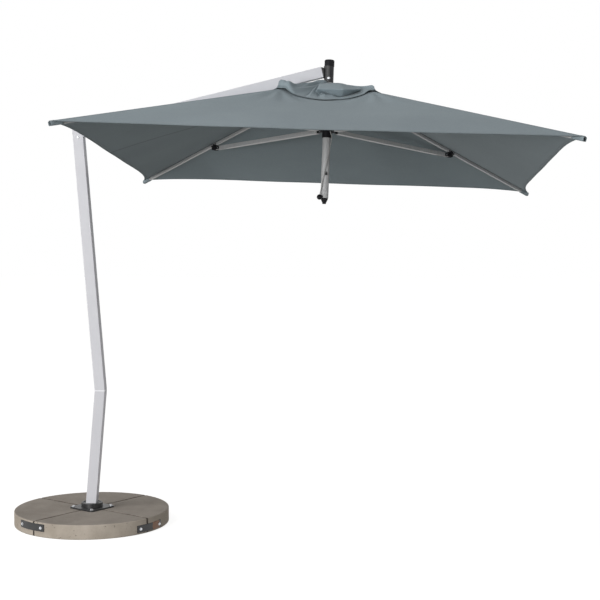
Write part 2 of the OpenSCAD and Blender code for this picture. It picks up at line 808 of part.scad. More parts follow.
// Tube swept along a route, with one ring at each point of it
module swept_tube(route, d, sides) {
    last = len(route) - 1;
    function heading(i) = unit(route[min(i + 1, last)] - route[max(i - 1, 0)]);
    function side_way(i) = unit(cross(heading(i), [0, 1, 0]));
    rings = [for (i = [0:last], k = [0:sides - 1])
        let (a = 360 * k / sides, s = side_way(i), u = cross(heading(i), s))
        route[i] + d / 2 * (cos(a) * s + sin(a) * u)];
    walls = [for (i = [0:last - 1], k = [0:sides - 1])
        let (a = i * sides + k, b = i * sides + (k + 1) % sides)
        each [[a, a + sides, b], [b, a + sides, b + sides]]];
    ends = [[for (k = [0:sides - 1]) k], [for (k = [sides - 1:-1:0]) last * sides + k]];
    polyhedron(rings, concat(walls, ends), convexity = 4);
}

module pull_cord() color(cord_grey) in_canopy() swept_tube(cord_route, cord_d, cord_sides);
module cord_ball() color(black_plastic) in_canopy() translate(ball_at) sphere(d = ball_d);

// ------------------------------------------------------------------ the pieces

slab(-90);  // slab_front
slab(0);  // slab_right
slab(90);  // slab_back
slab(180);  // slab_left
rim_plates();
rim_bolts();
bottom_plate();
base_plate();
base_bolts();
king_pin();
mast_foot();
mast_lower();
mast_coupler();
mast_upper();
arm_elbow();
elbow_bolt();
arm();
arm_bush();
head_bracket();
roll_spindle();
pole_sleeve();
head_bolt();
pole();
pole_cap();
pole_end();
cord_hook();
crown_hub();
crown_pins();
canopy();
wind_vent();
runner();
runner_pins();
pull_cord();
cord_ball();
for (i = [1:4]) rib(i - 1);
for (i = [1:4]) rib_root(i - 1);
for (i = [1:4]) rib_bracket(i - 1);
for (i = [1:4]) rib_tip(i - 1);
for (i = [1:4]) strut(i - 1);
for (i = [1:4]) strut_ends(i - 1);
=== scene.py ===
import json
import math

import bmesh
import bpy
from mathutils import Matrix, Vector


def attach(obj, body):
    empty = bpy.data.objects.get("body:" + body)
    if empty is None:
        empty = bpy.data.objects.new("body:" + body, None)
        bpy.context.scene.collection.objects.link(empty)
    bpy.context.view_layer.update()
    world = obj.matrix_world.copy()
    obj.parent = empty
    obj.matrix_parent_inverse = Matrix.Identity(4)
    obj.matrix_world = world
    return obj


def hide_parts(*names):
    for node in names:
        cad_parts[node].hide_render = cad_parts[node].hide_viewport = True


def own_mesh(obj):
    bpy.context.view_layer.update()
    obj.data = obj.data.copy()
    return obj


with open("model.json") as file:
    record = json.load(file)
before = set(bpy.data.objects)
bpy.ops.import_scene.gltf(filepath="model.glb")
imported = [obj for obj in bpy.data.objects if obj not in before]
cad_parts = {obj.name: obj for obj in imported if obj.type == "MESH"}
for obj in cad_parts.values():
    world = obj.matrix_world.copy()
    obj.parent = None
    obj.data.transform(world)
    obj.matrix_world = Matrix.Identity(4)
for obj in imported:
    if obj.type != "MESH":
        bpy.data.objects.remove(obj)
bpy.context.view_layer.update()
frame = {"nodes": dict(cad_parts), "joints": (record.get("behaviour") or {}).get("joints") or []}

# ---- Camera -------------------------------------------------------------------------------
# A long lens at head height, a few steps back from the mast's side, sees the whole umbrella
# and looks up under the far half of the canopy.
camera = bpy.data.objects.new("camera", bpy.data.cameras.new("camera"))
camera.location = (1.6774, -7.5326, 1.7646)
camera.rotation_euler = (math.radians(90) - 0.0633, 0, 0.0632)
camera.data.sensor_width = 36
camera.data.lens = 80.29
camera.data.clip_end = 100
bpy.context.scene.collection.objects.link(camera)
bpy.context.scene.camera = camera
bpy.context.scene.view_settings.view_transform = "Standard"

# ---- The canopy's own axes ------------------------------------------------------------------
# The head hangs from the arm a little rolled and leaned, so everything on the pole is laid out
# square to the pole first: origin where the ribs' cloth lines meet, Z up the pole.
rib_names = ("rib_fold_1", "rib_fold_2", "rib_fold_3", "rib_fold_4")
joints = {joint["name"]: joint for joint in frame["joints"]}
canopy_side = 2.5
canopy_drop = 0.449
crown_hinge_r = 0.080
rib_under = 0.012
half_diagonal = canopy_side / 2 * math.sqrt(2)
rib_slope = math.atan2(canopy_drop, half_diagonal)
crown_hinge_z = -crown_hinge_r * math.tan(rib_slope) - rib_under / math.cos(rib_slope)
hinge_points = [Vector(joints[name]["pos_m"]) for name in rib_names]
hinge_middle = sum(hinge_points, Vector()) / 4
pole_up = Vector(joints["runner_slide"]["axis"]).normalized()
along = (hinge_points[1] + hinge_points[2] - 2 * hinge_middle).normalized()
across = pole_up.cross(along)
apex = hinge_middle - crown_hinge_z * pole_up
canopy_axes = Matrix((along, across, pole_up)).transposed().to_4x4()
canopy_axes.translation = apex


def in_canopy(points):
    """Points laid out square to the pole, put where the tilted head carries them."""
    return [canopy_axes @ Vector(point) for point in points]


# ---- Pull cord ------------------------------------------------------------------------------
# A thin braided cord, tied to the runner's collar, passes in front of the pole and ends in a
# ball; pulling it down spreads the canopy.
cord_width = 0.005
cord_route = [
    (0.017, -0.024, -0.262), (0.018, -0.024, -0.272), (0.021, -0.022, -0.283), (0.026, -0.017, -0.294),
    (0.029, -0.012, -0.303), (0.029, -0.011, -0.312), (0.028, -0.011, -0.324), (0.026, -0.013, -0.338),
    (0.024, -0.014, -0.350), (0.020, -0.016, -0.372), (0.016, -0.020, -0.396), (0.012, -0.022, -0.420),
    (0.008, -0.024, -0.445), (0.004, -0.025, -0.468), (0.000, -0.026, -0.490), (-0.004, -0.025, -0.512),
    (-0.008, -0.025, -0.535), (-0.012, -0.024, -0.558), (-0.016, -0.023, -0.582), (-0.020, -0.024, -0.606),
    (-0.025, -0.028, -0.634),
]
cord_line = in_canopy(cord_route)


def tube_mesh(name, line, width, sides):
    """A closed round tube along a line, with a UV map that runs round it and, in metres, along it."""
    mesh = bpy.data.meshes.new(name)
    work = bmesh.new()
    rings = []
    lengths = [0.0]
    for a, b in zip(line, line[1:]):
        lengths.append(lengths[-1] + (b - a).length)
    for i, point in enumerate(line):
        ahead = line[min(i + 1, len(line) - 1)] - line[max(i - 1, 0)]
        side = ahead.normalized().cross(Vector((0, 1, 0))).normalized()
        up = side.cross(ahead.normalized())
        ring = []
        for k in range(sides):
            turn = math.tau * k / sides
            ring.append(work.verts.new(point + width / 2 * (math.cos(turn) * side + math.sin(turn) * up)))
        rings.append(ring)
    uv = work.loops.layers.uv.new("along")
    for i, (low, high) in enumerate(zip(rings, rings[1:])):
        for k in range(sides):
            n = (k + 1) % sides
            face = work.faces.new((low[k], low[n], high[n], high[k]))
            face.smooth = True
            corners = ((k, lengths[i]), (k + 1, lengths[i]), (k + 1, lengths[i + 1]), (k, lengths[i + 1]))
            for loop, (u, v) in zip(face.loops, corners):
                loop[uv].uv = (u / sides, v)
    work.faces.new(rings[0])
    work.faces.new(list(reversed(rings[-1])))
    bmesh.ops.recalc_face_normals(work, faces=work.faces)
    work.to_mesh(mesh)
    work.free()
    return mesh


pull_cord = bpy.data.objects.new("braided_cord", tube_mesh("braided_cord", cord_line, cord_width, 12))
bpy.context.scene.collection.objects.link(pull_cord)
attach(pull_cord, "runner")
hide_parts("pull_cord")

# ---- Concrete base slabs --------------------------------------------------------------------
# Four quarter-round slabs of cast concrete, trowelled on top and cast against a steel ring at
# the rim, so they show fine sand and small air holes. The rim is painted paler and the top
# darker as painted light and shade, and the air holes are painted dark as painted shade.


class Field:
    """A value that changes over a surface, so that shader sums are written as sums."""

    def __init__(self, finish, socket):
        self.finish = finish
        self.socket = socket

    def _math(self, kind, *others):
        return self.finish.node("Math", [self, *others], operation=kind)

    def __add__(self, other):
        return self._math("ADD", other)

    def __sub__(self, other):
        return self._math("SUBTRACT", other)

    def __mul__(self, other):
        return self._math("MULTIPLY", other)

    def __truediv__(self, other):
        return self._math("DIVIDE", other)

    def __rsub__(self, other):
        return self.finish.node("Math", [other, self], operation="SUBTRACT")

    __radd__ = __add__
    __rmul__ = __mul__

    def size(self):
        """The value without its sign."""
        return self._math("ABSOLUTE")

    def between(self, low, high):
        """0 below low, 1 above high and smooth in between."""
        values = {"Value": self, "From Min": low, "From Max": high}
        return self.finish.node("MapRange", values, interpolation_type="SMOOTHSTEP")

    def colours(self, first, second):
        """Goes from the first colour to the second as the value goes from 0 to 1."""
        values = {0: self, 6: first, 7: second}
        return self.finish.node("Mix", values, out=2, data_type="RGBA")


class Finish:
    """One material. node() adds any shader node, fills its inputs and gives back one output."""

    def __init__(self, name, **plain):
        self.material = bpy.data.materials.new(name)
        self.material.use_nodes = True
        self.tree = self.material.node_tree
        self.shader = self.tree.nodes["Principled BSDF"]
        for key, value in plain.items():
            self.put(key.replace("_", " "), value)

    def put(self, key, value):
        socket = self.shader.inputs[key]
        if isinstance(value, Field):
            self.tree.links.new(value.socket, socket)
        else:
            socket.default_value = (*value, 1) if isinstance(value, tuple) and len(value) == 3 else value

    def node(self, kind, inputs=(), out=0, **settings):
        made = self.tree.nodes.new("ShaderNode" + kind)
        for key, value in settings.items():
            setattr(made, key, value)
        for key, value in (inputs.items() if isinstance(inputs, dict) else enumerate(inputs)):
            if isinstance(value, Field):
                self.tree.links.new(value.socket, made.inputs[key])
            elif isinstance(value, tuple) and len(value) == 3 and made.inputs[key].type == "RGBA":
                made.inputs[key].default_value = (*value, 1)
            else:
                made.inputs[key].default_value = value
        return Field(self, made.outputs[out])

    def place(self, scale=(1, 1, 1)):
        """Metres on the object, stretched by scale."""
        where = self.node("TexCoord", out="Object")
        return self.node("Mapping", {"Vector": where, "Scale": scale})

    def noise(self, scale, detail=3.0, rough=0.5, where=None, stretch=(1, 1, 1)):
        spot = where or self.place(stretch)
        return self.node("TexNoise", {"Vector": spot, "Scale": scale, "Detail": detail, "Roughness": rough})

    def bump(self, height, depth, strength=1.0):
        """Raises the surface by height times depth, in metres."""
        values = {"Height": height, "Distance": depth, "Strength": strength}
        self.put("Normal", self.node("Bump", values))

    def on_node(self, *nodes):
        """Gives CAD nodes this finish."""
        for name in nodes:
            slots = frame["nodes"][name].material_slots
            if not slots:
                frame["nodes"][name].data.materials.append(self.material)
            for slot in slots:
                slot.material = self.material


concrete = Finish("cast_concrete", Specular_IOR_Level=0.25)
sand = concrete.noise(420, 4, 0.65)
cloudy = concrete.noise(9, 5, 0.6)
stain = concrete.noise(3.2, 3, 0.5)
height = concrete.node("SeparateXYZ", {0: concrete.place()}, out=2)
top_face = height.between(0.0790, 0.0826)
speck = concrete.node("TexVoronoi", {"Vector": concrete.place(), "Scale": 260.0}, out="Distance")
holes = concrete.node("TexVoronoi", {"Vector": concrete.place(), "Scale": 62.0}, out="Distance")
pitted = concrete.noise(24, 1).between(0.47, 0.60) * (top_face * -0.7 + 1)
air_hole = pitted * (holes * -1 + 1).between(0.78, 0.88)
tone = cloudy * 0.45 + stain * 0.30 + sand * 0.25
# The rim is painted paler and the top darker: painted light and shade from a low front light.
rim_painted_light = tone.between(0.30, 0.70).colours((0.390, 0.338, 0.278), (0.580, 0.515, 0.440))
top_painted_shade = tone.between(0.32, 0.68).colours((0.300, 0.264, 0.228), (0.425, 0.376, 0.328))
slab_painted_light = top_face.colours(rim_painted_light, top_painted_shade)
joint_turn = math.radians(11 + 45)               # the base's own turn, and the joints between its slabs
across_one = concrete.node("VectorMath", [concrete.place(), (math.sin(joint_turn), -math.cos(joint_turn), 0)],
                           out="Value", operation="DOT_PRODUCT")
across_two = concrete.node("VectorMath", [concrete.place(), (math.cos(joint_turn), math.sin(joint_turn), 0)],
                           out="Value", operation="DOT_PRODUCT")
from_joint = concrete.node("Math", [across_one.size(), across_two.size()], operation="MINIMUM")
joint = (from_joint * -1 - (cloudy - 0.5) * 0.006).between(-0.0090, -0.0045)
body = (joint * 0.85).colours(slab_painted_light, (0.075, 0.062, 0.052))
grit = (speck * -1 + 1).between(0.80, 0.95) * sand.between(0.45, 0.7)
gritty = (grit * 0.35).colours(body, (0.20, 0.17, 0.14))
# The air holes are real pits in the bump; their dark colour here is painted shade inside them.
concrete.put("Base Color", (air_hole * 0.65).colours(gritty, (0.10, 0.085, 0.07)))
concrete.put("Roughness", sand * 0.2 + 0.75)
concrete.bump(sand * 0.6 + cloudy * 0.8 - air_hole * 2.4 - grit * 0.3, 0.0008)
concrete.on_node("slab_front", "slab_right", "slab_back", "slab_left")

# ---- Rim plates, base plate and housing -----------------------------------------------------
# Steel parts of the base, cut, rolled to the rim or turned, and coated with black powder that
# leaves a fine hammered skin.
black_coat = Finish("black_powder_coat", Coat_Weight=0.15, Coat_Roughness=0.35)
skin = black_coat.noise(900, 2)
dust = black_coat.noise(14, 5, 0.65)
dusty = dust.between(0.42, 0.75).colours((0.012, 0.012, 0.013), (0.030, 0.029, 0.028))
rust_at = (0.404, -0.182, 0.036)
worn_spot = black_coat.node("VectorMath", [black_coat.place(), rust_at], out="Value", operation="DISTANCE")
worn = (worn_spot * -1 + 0.036 + (dust - 0.5) * 0.09).between(0.0, 0.008)
black_coat.put("Base Color", worn.colours(dusty, (0.210, 0.090, 0.034)))
black_coat.put("Roughness", dust * 0.25 + 0.33)
black_coat.bump(skin, 0.00012)
black_coat.on_node(
    "rim_plates", "bottom_plate", "base_plate", "mast_foot", "mast_coupler", "arm_elbow", "head_bracket"
)

# ---- Bolts, pins and spindle ----------------------------------------------------------------
# Zinc-plated and stainless steel fasteners, pressed or turned, with a bright, slightly brushed
# skin.
plated = Finish("bright_plated_steel", Metallic=1.0)
turned = plated.noise(700, 3, 0.6)
blotch = plated.noise(60, 3, 0.5)
plated.put("Base Color", blotch.between(0.3, 0.7).colours((0.55, 0.56, 0.58), (0.74, 0.75, 0.77)))
plated.put("Roughness", turned * 0.2 + 0.22)
plated.bump(turned, 0.00004)
plated.on_node("rim_bolts", "base_bolts", "king_pin", "elbow_bolt", "head_bolt", "roll_spindle")
plated.on_node("crown_pins", "runner_pins")

# ---- Mast and arm ---------------------------------------------------------------------------
# Square steel tube, mitred at the crank and the elbow and coated white; the coat has a faint
# orange-peel skin, and a lighter line at the crank is a painted highlight along the joint.
white_coat = Finish("white_powder_coat", Coat_Weight=0.08, Coat_Roughness=0.3, Specular_IOR_Level=0.3)
peel = white_coat.noise(260, 2, 0.4)
haze = white_coat.noise(2.6, 4, 0.6)
crank_z = max(vertex.co.z for vertex in frame["nodes"]["mast_lower"].data.vertices)
off_crank = (white_coat.node("SeparateXYZ", {0: white_coat.place()}, out=2) - crank_z).size()
# A thin band along the crank joint is painted lighter: a painted highlight where light catches the joint.
crank_painted_highlight = (off_crank * -1).between(-0.0045, -0.0035)
tone = haze.between(0.3, 0.7) * 0.22 * (1 - crank_painted_highlight) + crank_painted_highlight
white_coat.put("Base Color", tone.colours((0.655, 0.655, 0.690), (0.905, 0.905, 0.940)))
white_coat.put("Roughness", haze * 0.15 + 0.42)
white_coat.bump(peel, 0.00015)
white_coat.on_node("mast_lower", "mast_upper", "arm")

# ---- Pole, sleeve, ribs and struts ----------------------------------------------------------
# Drawn aluminium, clear anodised on the pole, ribs and struts and black on the sleeve: soft
# sheen, and fine draw lines along each piece.
anodised = Finish("clear_anodised_aluminium", Metallic=0.15)
grain = anodised.noise(1400, 2, 0.5)
draw = anodised.noise(240, 3, 0.6, stretch=(1, 1, 0.03))
drawn = (grain * 0.5 + draw * 0.5).between(0.3, 0.7)
anodised.put("Base Color", drawn.colours((0.44, 0.442, 0.445), (0.56, 0.562, 0.565)))
anodised.put("Roughness", draw * 0.2 + 0.38)
anodised.bump(draw, 0.00005)
anodised.on_node("pole")
anodised.on_node(*[f"{kind}_{i}" for kind in ("rib", "strut") for i in range(1, 5)])
dark_anodised = Finish("black_anodised_aluminium", Metallic=0.6)
dark_draw = dark_anodised.noise(240, 3, 0.6, stretch=(1, 1, 0.03))
dark_lines = dark_draw.between(0.3, 0.7)
dark_anodised.put("Base Color", dark_lines.colours((0.016, 0.016, 0.018), (0.032, 0.032, 0.036)))
dark_anodised.put("Roughness", dark_draw * 0.2 + 0.30)
dark_anodised.bump(dark_draw, 0.00005)
dark_anodised.on_node("pole_sleeve")

# ---- Moulded fittings -----------------------------------------------------------------------
# Crown hub, runner, rib ends, strut ends, caps, hook and ball are moulded in black nylon with a
# finely grained skin.
nylon = Finish("black_nylon", Specular_IOR_Level=0.15)
moulded = nylon.noise(1100, 2, 0.5)
scuff = nylon.noise(35, 4, 0.6)
nylon.put("Base Color", scuff.between(0.4, 0.75).colours((0.008, 0.008, 0.010), (0.018, 0.018, 0.020)))
nylon.put("Roughness", scuff * 0.2 + 0.46)
nylon.bump(moulded, 0.0001)
nylon.on_node("arm_bush", "pole_cap", "pole_end", "cord_hook", "crown_hub", "runner", "cord_ball")
for kind in ("rib_root", "rib_bracket", "rib_tip", "strut_ends"):
    nylon.on_node(*[f"{kind}_{i}" for i in range(1, 5)])

# ---- Braid of the pull cord -----------------------------------------------------------------
# Two sets of light grey strands cross as they run round the cord.
braid = Finish("braided_cord", Roughness=0.8)
turn_and_run = braid.node("SeparateXYZ", {0: braid.node("UVMap", uv_map="along")})
run = Field(braid, turn_and_run.socket.node.outputs[1])
left_hand = braid.node("Math", [(turn_and_run * 4 + run * 220) * math.tau], operation="SINE")
right_hand = braid.node("Math", [(turn_and_run * 4 - run * 220) * math.tau], operation="SINE")
strands = braid.node("Math", [left_hand, right_hand], operation="MAXIMUM")
braid.put("Base Color", strands.between(-0.2, 0.9).colours((0.24, 0.24, 0.24), (0.62, 0.62, 0.61)))
braid.bump(strands, 0.0003)
pull_cord.data.materials.append(braid.material)

# ---- Canopy ---------------------------------------------------------------------------------
# Four triangular panels of solution-dyed polyester, joined by felled seams over the ribs. The
# cloth is stretched between the corners, so each hem curves in and each panel dishes a little.
# Each panel is made as two halves that meet on its middle line, one for each of its ribs.
vent_half = 0.180
hem_inset = 0.050
hem_tension = {0: 1.0, 90: 1.35, 180: 1.0, 270: 0.85}
sag_top = 0.044
sag_hem = 0.003
hem_droop = 0.010
cloth_thick = 0.0012
azimuths = (-135, -45, 45, 135)
columns = 64
rows = 84


def smooth(value, low, high):
    x = min(max((value - low) / (high - low), 0), 1)
    return x * x * (3 - 2 * x)


def cloth_height(m, v):
    """Height of the cloth at distance m from the pole, square to a side, v from -1 to 1 along it."""
    t = m / (canopy_side / 2)
    return -canopy_drop * t - (1 - v * v) ** 2 * (sag_hem + (sag_top - sag_hem) * (1 - t) ** 1.5)


def canopy_spot(t, v, side):
    """A place on the panel at one side, from the air opening, t = 0, to the hem, t = 1."""
    pull = hem_inset * hem_tension[side] / (canopy_side / 2)
    m = (vent_half + (canopy_side / 2 - vent_half) * t) * (1 - pull * t * t * (1 - v ** 8))
    droop = hem_droop * t ** 6 * (1 - v ** 8)
    doubled = 0.0008 * smooth(t, 0.975, 0.982)
    seam = 0.0011 * smooth(m * (1 - abs(v)) / 1.414, 0.013, 0.008)
    return m, m * v, cloth_height(m, v) - droop + doubled + seam + creases(m, m * v, v, side)


def creases(x, y, v, side):
    """Creases that fan out below the hood's corners, and slow waves towards the hem."""
    near = math.hypot(x - 0.27, abs(y) - 0.25)
    fan = math.atan2(abs(y) - 0.25, x - 0.25)
    depth = 0.0034 * math.exp(-((near - 0.13) / 0.15) ** 2) * math.sin(13 * fan + 0.9 + side)
    waves = 0.0022 * math.sin(3.3 * y * math.pi + 4 * x + side) * math.exp(-((x - 0.75) / 0.42) ** 2)
    return (depth + waves * (1 - v * v)) * smooth(x * (1 - abs(v)), 0.0, 0.05)


def halves(azimuth):
    """The two half panels that one rib carries: name, side and the places from rib to middle line."""
    return (("a", (azimuth - 45) % 360, [k / columns for k in range(columns + 1)]),
            ("b", (azimuth + 45) % 360, [-1 + k / columns for k in range(columns + 1)]))


def half_grid(spot, side, places, ts):
    """Grid over one half panel, with each place's spot on the flat cloth."""
    c, s = round(math.cos(math.radians(side))), round(math.sin(math.radians(side)))
    grid, flat = [], []
    for t in ts:
        spots = [spot(t, v, side) for v in places]
        grid.append([(x * c - y * s, x * s + y * c, z) for x, y, z in spots])
        flat.append([(y, x) for x, y, z in spots])
    return grid, flat


def sheet_object(name, grid, flat, ts):
    """A cloth mesh from a grid of places, with UV maps of its weave and of its way to the hem."""
    mesh = bpy.data.meshes.new(name)
    wide = len(grid[0])
    points = in_canopy([point for line in grid for point in line])
    faces = [(r * wide + k, (r + 1) * wide + k, (r + 1) * wide + k + 1, r * wide + k + 1)
             for r in range(len(grid) - 1) for k in range(wide - 1)]
    mesh.from_pydata(points, [], faces)
    marks = [mark for line in flat for mark in line]
    steps = [(k / wide, t) for t in ts for k in range(wide)]
    for layer, values in (("cloth", marks), ("run", steps)):
        uv = mesh.uv_layers.new(name=layer)
        for loop in mesh.loops:
            uv.data[loop.index].uv = values[loop.vertex_index]
    mesh.shade_smooth()
    made = bpy.data.objects.new(name, mesh)
    bpy.context.scene.collection.objects.link(made)
    return made


def face_up(made):
    if sum(face.area * face.normal.dot(pole_up) for face in made.data.polygons) < 0:
        made.data.flip_normals()


def thicken(made):
    wall = made.modifiers.new("thickness", "SOLIDIFY")
    wall.thickness = cloth_thick
    wall.offset = 1
    wall.use_rim = False


def down_rib(azimuth):
    """Direction of the rib at an azimuth, from the crown out, square to the pole."""
    turn = math.radians(azimuth)
    level = Vector((math.cos(turn), math.sin(turn), 0))
    return level * math.cos(rib_slope) - Vector((0, 0, math.sin(rib_slope)))


def on_rib(made, i, side):
    """Carried by rib i, with its own mesh; the way in along the panel towards the rib is worked out but not
    used.
    """
    out = down_rib(azimuths[i - 1])
    hem = Vector((-math.sin(math.radians(side)), math.cos(math.radians(side)), 0))
    inwards = (hem - hem.dot(out) * out).normalized()
    axis = canopy_axes.to_3x3() @ inwards
    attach(made, f"rib_body_{i}")
    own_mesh(made)


cloth = Finish("woven_polyester", Roughness=0.85, Sheen_Weight=0.08, Sheen_Roughness=0.5,
               Specular_IOR_Level=0.2)
uv_place = cloth.node("UVMap", uv_map="cloth")
yarn = cloth.node("SeparateXYZ", {0: uv_place}, out=0)
yarn_across = cloth.node("SeparateXYZ", {0: uv_place}, out=1)
weft = cloth.node("Math", [yarn * (math.tau / 0.0011)], operation="SINE")
warp = cloth.node("Math", [yarn_across * (math.tau / 0.0011)], operation="SINE")
weave = weft * warp * 0.5 + 0.5
from_seam = (yarn_across - yarn.size()) / 1.414
seam_edge = from_seam.between(0.0082, 0.0090) * (from_seam * -1).between(-0.0112, -0.0100)
to_hem = cloth.node("SeparateXYZ", {0: cloth.node("UVMap", uv_map="run")}, out=1)
# A thin line just inside the hem is painted darker: painted shade along the hem's fold.
hem_painted_shade = to_hem.between(0.9895, 0.9915)
cloth_place = cloth.place()
spot_x = cloth.node("SeparateXYZ", {0: cloth_place}, out=0)
spot_y = cloth.node("SeparateXYZ", {0: cloth_place}, out=1)
off_line = (spot_y + 0.158 - spot_x * 0.157).size()      # the arm's shadow, painted as a dark strip across the left panel
arm_painted_shadow = (off_line * -1).between(-0.013, -0.009) * (spot_x * -1).between(-0.95, -0.70)
faded = cloth.noise(2.2, 4, 0.55)
slub = cloth.noise(90, 3, 0.6)
shade = faded * 0.6 + slub * 0.4
ground = shade.between(0.3, 0.7).colours((0.262, 0.316, 0.345), (0.300, 0.360, 0.388))
woven = (weave * 0.22).colours(ground, (0.190, 0.235, 0.255))
# The seam edge lines, the arm's painted shadow and the hem's painted shade all darken the cloth.
seam_lines_and_painted_shade = seam_edge * 0.4 + arm_painted_shadow * 0.5 + hem_painted_shade * 0.45
cloth.put("Base Color", seam_lines_and_painted_shade.colours(woven, (0.11, 0.14, 0.15)))
cloth.bump(weave * 0.5 + slub * 0.9, 0.0003)

panel_ts = [1 - (1 - k / rows) ** 1.25 for k in range(rows + 1)]
for i, azimuth in enumerate(azimuths, start=1):
    for hand, side, places in halves(azimuth):
        grid, flat = half_grid(canopy_spot, side, places, panel_ts)
        panel = sheet_object(f"canopy_{i}{hand}", grid, flat, panel_ts)
        face_up(panel)
        thicken(panel)
        panel.data.materials.append(cloth.material)
        on_rib(panel, i, side)
        if panel.name == "canopy_1a":
            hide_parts("canopy")

# ---- Corner pockets -------------------------------------------------------------------------
# A tube of doubled cloth, sewn under each corner, slips over the rib's end and keeps the canopy
# stretched.
pocket_len = 0.070
pocket_girth = 0.075
rib_height = 0.018
rib_width = 0.016
rib_out = half_diagonal / math.cos(rib_slope)
for i, azimuth in enumerate(azimuths, start=1):
    turn = math.radians(azimuth)
    out = down_rib(azimuth)
    wide = Vector((-math.sin(turn), math.cos(turn), 0))
    up = out.cross(wide)
    grid, flat = [], []
    steps = 14
    around = 28
    for r in range(steps + 1):
        along_rib = rib_out - pocket_len * (1 - r / steps) - 0.002
        belly = 1 + 0.05 * math.sin(9 * r / steps)
        line, marks = [], []
        for k in range(around):
            angle = math.tau * k / around + 0.3
            c, s = math.cos(angle), math.sin(angle)
            flatten = (abs(c) ** 4 + abs(s) ** 4) ** -0.25
            spot = out * along_rib + wide * (flatten * c * (rib_width / 2 + 0.0028) * belly)
            spot += up * (flatten * s * (rib_height / 2 + 0.0022) - rib_under + 0.0006)
            line.append(tuple(spot))
            marks.append((pocket_girth * k / around, along_rib))
        line.append(line[0])
        marks.append((pocket_girth, along_rib))
        grid.append(line)
        flat.append(marks)
    pocket = sheet_object(f"corner_pocket_{i}", grid, flat, [r / steps for r in range(steps + 1)])
    wall = pocket.modifiers.new("thickness", "SOLIDIFY")
    wall.thickness = 0.0008
    wall.offset = 0
    pocket.data.materials.append(cloth.material)
    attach(pocket, f"rib_body_{i}")

# ---- Wind hood ------------------------------------------------------------------------------
# A smaller square of the same cloth sits over the air opening. Its corners are tied down on the
# seams and puff up like ears, its slack edges droop onto the panels, and it is gathered round
# the pole. Towards the front right the slack cloth hangs in one deep fold.
hood_half = 0.262
hood_bulge = 0.205
hood_rise = 0.062
ear_share = {0: 0.6, 90: 0.8, 180: 1.0, 270: 0.6}
hood_centre_z = -0.009
hood_lift = 0.009
hood_hole = 0.034
split_t = 0.18                                   # where the gathered crown ends and the skirts begin
tucks = ((-0.30, 0.10, 0.045, 0.030), (-0.52, -0.12, 0.07, 0.018), (-0.12, 0.22, 0.05, 0.022))


def hood_spot(t, v, side):
    """A place on the hood at one side, from the pole, t = 0, to its edge, t = 1."""
    edge = hood_half + hood_bulge * max(1 - math.sqrt(v * v + 0.012 * (1 - v * v)), 0) ** 1.3
    edge_z = cloth_height(edge, v) + hood_lift
    m = hood_hole + (edge - hood_hole) * t
    share = ear_share[(side + (0 if v > 0 else 270)) % 360]
    ridge = smooth(-v, 0.45, 0.72) if side == 270 and v < 0 else v ** 12
    z = hood_centre_z + (edge_z - hood_centre_z) * t ** 1.1
    z += hood_rise * share * ridge * t ** 4 * (1 - t ** 32)
    z += 0.012 * math.exp(-((abs(v) - 0.72) / 0.14) ** 2) * t ** 5
    z += gathers(t, v, side)
    leftward = {0: 0, 90: max(v, 0), 180: 1, 270: max(-v, 0)}[side]
    z += 0.015 * smooth(leftward, 0, 0.6) * math.exp(-((m - 0.048) / 0.032) ** 2)
    if side == 270:
        for place, lean, wide, deep in tucks:
            tuck = (v - place - lean * (t - 0.5)) / wide
            z += deep * tuck * math.exp(-tuck * tuck) * math.sin(math.pi * t)
        z -= 0.016 * math.exp(-((v + 0.80) / 0.07) ** 2) * smooth(t, 0.45, 0.8) * (1 - t ** 12)
        start = -0.17 + 0.33 * smooth(t, 0.60, 0.80)
        hang = smooth(v, start - 0.06, start + 0.08) * (1 - smooth(v, 0.62, 0.88))
        fold_m, fold_z = deep_fold(t, v, edge, edge_z)
        m, z = m + (fold_m - m) * hang, z + (fold_z - z) * hang
    return m, m * v, z


def gathers(t, v, side):
    """Slack folds that run from the pole to the edge, with sharp tops and round bottoms."""
    a = abs(math.sin(4.6 * v + 0.8 * side / 90 + 0.9 * t))
    b = abs(math.sin(9.5 * v + 2.1 * side / 90 - 1.4 * t))
    return (0.013 - 0.021 * a + 0.008 - 0.015 * b) * math.sin(math.pi * t ** 0.8) * (1 - v ** 8)


def deep_fold(t, v, edge, edge_z):
    """The cloth runs out to a straight crest, turns back under it and then out again to the hem."""
    crest_m = min(0.375, edge - 0.020)
    crest = (crest_m, -0.088 - 0.22 * (crest_m - 0.300))
    under = (crest_m - 0.043, cloth_height(crest_m - 0.043, v) + 0.007)
    strip = (edge - 0.010, cloth_height(edge - 0.010, v) + hood_lift + 0.003)
    stops = [(0.0, (hood_hole, hood_centre_z)), (0.50, (crest_m - 0.070, -0.066)), (0.60, crest),
             (0.80, under), (0.93, strip), (1.0, (edge, edge_z - 0.003))]
    for (t0, a), (t1, b) in zip(stops, stops[1:]):
        if t <= t1:
            k = smooth(t, t0, t1)
            return a[0] + (b[0] - a[0]) * k, a[1] + (b[1] - a[1]) * k
    return stops[-1][1]


